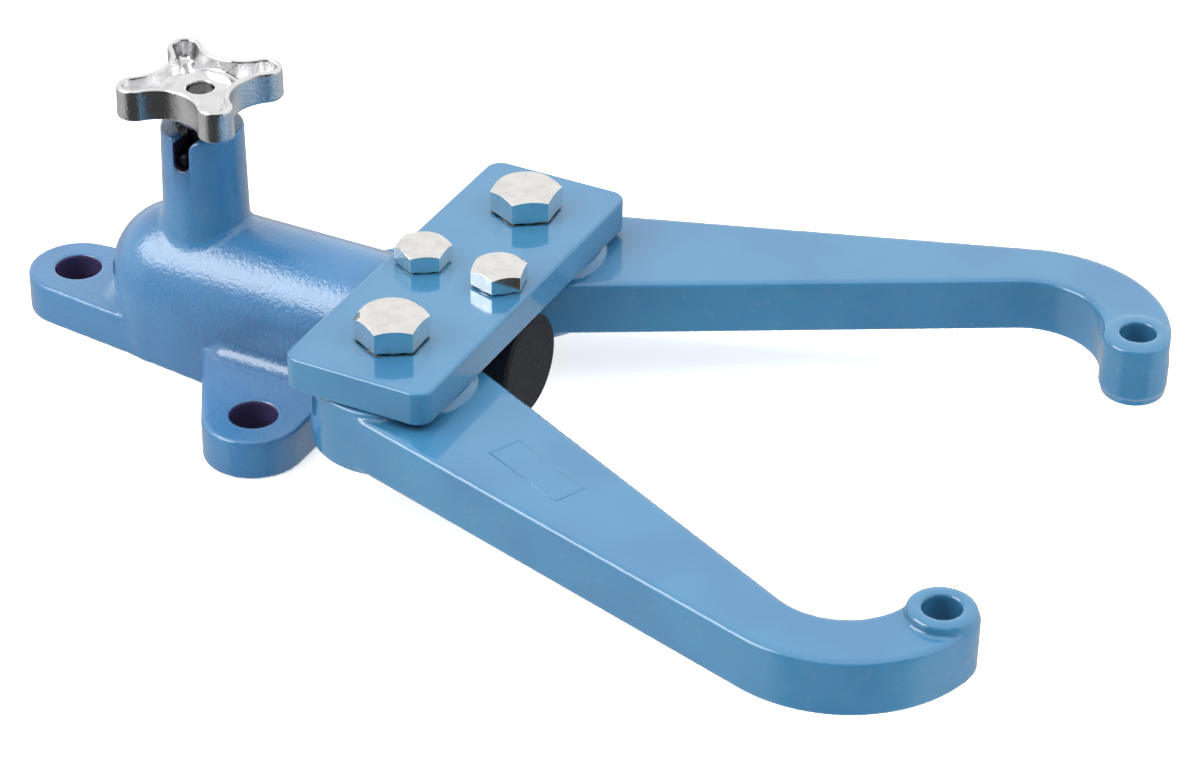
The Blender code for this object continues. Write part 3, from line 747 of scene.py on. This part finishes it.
def star_field(x, y):
    """Four round lobes joined by four round hollows, which touch them."""
    lobe_at = LOBE_R - LOBE_TIP
    reach = WAIST - LOBE_TIP
    hollow_at = (lobe_at ** 2 - reach ** 2) / (2 * (lobe_at * math.sqrt(0.5) - reach))
    diagonal = hollow_at * math.sqrt(0.5)
    a, b = np.abs(x + y) * math.sqrt(0.5), np.abs(x - y) * math.sqrt(0.5)
    u, v = np.maximum(a, b), np.minimum(a, b)
    lobe = np.hypot(u - lobe_at, v) - LOBE_TIP
    hollow = hollow_at - WAIST - np.hypot(u - diagonal, v - diagonal)
    return np.where((diagonal - lobe_at) * v > diagonal * (u - lobe_at), hollow, lobe)


def knob_field(x, y, z):
    star = star_field(x, y)
    rho = np.hypot(x, y)
    down = KNOB_TOP - z
    solid = round_meet(star + 0.12 - 0.02 * down, -down, 1.3)
    solid = round_meet(solid, KNOB_BOTTOM - z, 1.0)
    floor = 112.5 - 2.6 * smooth_step(12.0, 16.5, rho)
    dish = round_meet(star + 2.1 + 0.22 * down, (floor - z) * 0.9, 1.8)
    solid = round_cut(solid, dish, 0.75)
    hub = np.maximum(round_meet(rho - 9.0, 98.5 - z, 0.8), z - 109)
    solid = fillet_union(solid, hub, 1.2)
    return round_cut(solid, rho - 5.3, 0.6)


knob_mesh = field_mesh("knob", knob_field, steps(-34, 0.6, 34), steps(-34, 0.6, 34),
                       steps(97, 0.55, KNOB_TOP + 1.5))
piece("star_knob_casting", knob_mesh, "plunger", CHROME, ["star_knob"])


# ---------------------------------------------------------------- pins and spring
cross_low, cross_high = box_mm("cross_pin")
cross_half = (cross_high[1] - cross_low[1]) / 2
profile = [(1.2, -cross_half), (2.2, 0.15 - cross_half), (2.6, 0.7 - cross_half),
           (2.6, cross_half - 0.7), (2.2, cross_half - 0.15), (1.2, cross_half)]
place = Matrix.Translation((0, 0, (cross_low[2] + cross_high[2]) / 2 * MM))
place @= Matrix.Rotation(math.pi / 2, 4, "X")
piece("cross_pin_round", skin("cross", turned_rings(profile, 48), bend=50), "plunger",
      OILED, ["cross_pin"], place)

spring_low, spring_high = box_mm("pin_spring")
WIRE_R, COIL_R, TURNS = 0.7, 6.5, 7
start_z, end_z = spring_low[2] + WIRE_R, spring_high[2] - WIRE_R
rings = []
for i in range(TURNS * 36 + 1):
    share = i / (TURNS * 36)
    a = math.tau * TURNS * share
    out = Vector((math.cos(a), math.sin(a), 0))
    climb = (end_z - start_z) / (math.tau * TURNS * COIL_R)
    run = Vector((-math.sin(a), math.cos(a), climb)).normalized()
    up = run.cross(out)
    centre = out * COIL_R + Vector((0, 0, start_z + (end_z - start_z) * share))
    rings.append([centre + (out * math.cos(t) + up * math.sin(t)) * WIRE_R
                  for t in (math.tau * k / 14 for k in range(14))])
spring = piece("spring_coil", skin("spring", rings, bend=70), "bracket", STEEL,
               ["pin_spring"])
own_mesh(spring)

for node, material in (("spindle", BLACK), ("lock_pin", STEEL), ("retaining_screw", STEEL)):
    cad = frame["nodes"][node]
    cad.data.materials.clear()
    cad.data.materials.append(material)


# ---------------------------------------------------------------- floor, light, camera
def floor():
    n = Nodes("floor")
    tone = n.mix(n.noise(180, 2), rgb(0.86, 0.86, 0.86), rgb(0.90, 0.90, 0.90))
    n.set(Base_Color=tone, Roughness=0.8, Emission_Color=rgb(1, 1, 1), Emission_Strength=0.6)
    bm = bmesh.new()
    bmesh.ops.create_grid(bm, x_segments=1, y_segments=1, size=3.0)
    mesh = bpy.data.meshes.new("floor")
    bm.to_mesh(mesh)
    bm.free()
    mesh.materials.append(n.material)
    obj = bpy.data.objects.new("floor", mesh)
    bpy.context.scene.collection.objects.link(obj)
    obj.location.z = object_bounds()[0].z - 0.0002
    obj.visible_glossy = False
    obj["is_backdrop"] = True


def hole_shade(name, x, y):
    """Dark disc on the floor under a lug's hole: painted shade, so the hole shows dark instead of the
    white floor.
    """
    bm = bmesh.new()
    bmesh.ops.create_circle(bm, cap_ends=True, segments=48, radius=(LUG_HOLE_R + 2) * MM)
    mesh = bpy.data.meshes.new(name)
    bm.to_mesh(mesh)
    bm.free()
    n = Nodes(name)
    n.set(Base_Color=rgb(0.015, 0.014, 0.02), Roughness=0.9)
    mesh.materials.append(n.material)
    obj = bpy.data.objects.new(name, mesh)
    bpy.context.scene.collection.objects.link(obj)
    obj.location = (x * MM, y * MM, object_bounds()[0].z - 0.0001)
    obj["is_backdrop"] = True


def direction(azimuth, elevation):
    a, e = math.radians(azimuth), math.radians(elevation)
    return Vector((math.sin(a) * math.cos(e), -math.cos(a) * math.cos(e), math.sin(e)))


def softbox(name, azimuth, elevation, distance, width, height, radiance, target):
    data = bpy.data.lights.new(name, "AREA")
    data.shape = "RECTANGLE"
    data.size, data.size_y = width, height
    data.energy = radiance * width * height * math.pi
    light = bpy.data.objects.new(name, data)
    bpy.context.scene.collection.objects.link(light)
    back = direction(azimuth, elevation)
    light.location = target + back * distance
    light.rotation_mode = "QUATERNION"
    light.rotation_quaternion = (-back).to_track_quat("-Z", "Y")
    return light


def daylight(name, strength, azimuth, elevation, spread_deg):
    """Wide far light which mirrors don't show."""
    data = bpy.data.lights.new(name, "SUN")
    data.energy = strength
    data.angle = math.radians(spread_deg)
    light = bpy.data.objects.new(name, data)
    bpy.context.scene.collection.objects.link(light)
    light.rotation_mode = "QUATERNION"
    light.rotation_quaternion = (-direction(azimuth, elevation)).to_track_quat("-Z", "Y")
    light.visible_glossy = False


def surroundings(dark_azimuth, bright, below, dark):
    """White room over a greyer floor, dark on the side where the photographer stands."""
    world = bpy.data.worlds.new("studio")
    bpy.context.scene.world = world
    world.use_nodes = True
    tree = world.node_tree

    def node(kind, **settings):
        made = tree.nodes.new(kind)
        for key, value in settings.items():
            setattr(made, key, value)
        return made

    def ramp(value, low, high):
        made = node("ShaderNodeMapRange", interpolation_type="SMOOTHSTEP")
        tree.links.new(value, made.inputs["Value"])
        made.inputs["From Min"].default_value = low
        made.inputs["From Max"].default_value = high
        return made.outputs[0]

    def mix(share, a, b):
        made = node("ShaderNodeMix", data_type="RGBA")
        tree.links.new(share, made.inputs[0])
        for socket, value in ((made.inputs[6], a), (made.inputs[7], b)):
            if isinstance(value, bpy.types.NodeSocket):
                tree.links.new(value, socket)
            else:
                socket.default_value = rgb(value, value, value)
        return made.outputs[2]

    spot = node("ShaderNodeTexCoord").outputs["Generated"]
    split = node("ShaderNodeSeparateXYZ")
    tree.links.new(spot, split.inputs[0])
    level = node("ShaderNodeVectorMath", operation="MULTIPLY")
    level.inputs[1].default_value = (1, 1, 0)
    tree.links.new(spot, level.inputs[0])
    unit = node("ShaderNodeVectorMath", operation="NORMALIZE")
    tree.links.new(level.outputs[0], unit.inputs[0])
    toward = node("ShaderNodeVectorMath", operation="DOT_PRODUCT")
    toward.inputs[1].default_value = direction(dark_azimuth, 0)
    tree.links.new(unit.outputs[0], toward.inputs[0])
    facing = ramp(toward.outputs["Value"], math.cos(math.radians(62)), math.cos(math.radians(40)))
    low = ramp(split.outputs[2], math.sin(math.radians(56)), math.sin(math.radians(40)))
    share = node("ShaderNodeMath", operation="MULTIPLY")
    tree.links.new(facing, share.inputs[0])
    tree.links.new(low, share.inputs[1])
    room = mix(ramp(split.outputs[2], 0.05, -0.20), bright, below)
    tree.links.new(mix(share.outputs[0], room, dark), tree.nodes["Background"].inputs["Color"])


CAMERA_AZIMUTH, CAMERA_ELEVATION, CAMERA_ROLL = 26.287, 33.013, 0.891
CAMERA_PLACE = Vector((0.6694, -1.0132, 0.7676))


def camera():
    data = bpy.data.cameras.new("camera")
    data.sensor_width = 36.0
    data.lens = 109.504
    obj = bpy.data.objects.new("camera", data)
    bpy.context.scene.collection.objects.link(obj)
    az = math.radians(CAMERA_AZIMUTH)
    right = Vector((math.cos(az), math.sin(az), 0))
    back = direction(CAMERA_AZIMUTH, CAMERA_ELEVATION)
    up = back.cross(right)
    c, s = math.cos(math.radians(CAMERA_ROLL)), math.sin(math.radians(CAMERA_ROLL))
    axes = Matrix((right * c + up * s, up * c - right * s, back)).transposed()
    obj.matrix_world = Matrix.Translation(CAMERA_PLACE) @ axes.to_4x4()
    bpy.context.scene.camera = obj


floor()
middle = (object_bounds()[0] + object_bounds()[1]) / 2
# Painted shade: a dark disc on the floor under each lug hole.
for name, x, y in (("painted_shade_rear", REAR_LUG_X, 0), ("painted_shade_near", SIDE_LUG_X, -SIDE_LUG_Y),
                   ("painted_shade_far", SIDE_LUG_X, SIDE_LUG_Y)):
    hole_shade(name, x, y)
softbox("key", -47, 38, 1.5, 1.1, 0.85, 4.5, middle)
daylight("overhead", 1.8, -110, 78, 50)
daylight("window", 1.5, 100, 48, 50)
surroundings(CAMERA_AZIMUTH, 0.92, 0.45, 0.05)
camera()
bpy.context.scene.view_settings.view_transform = "Standard"
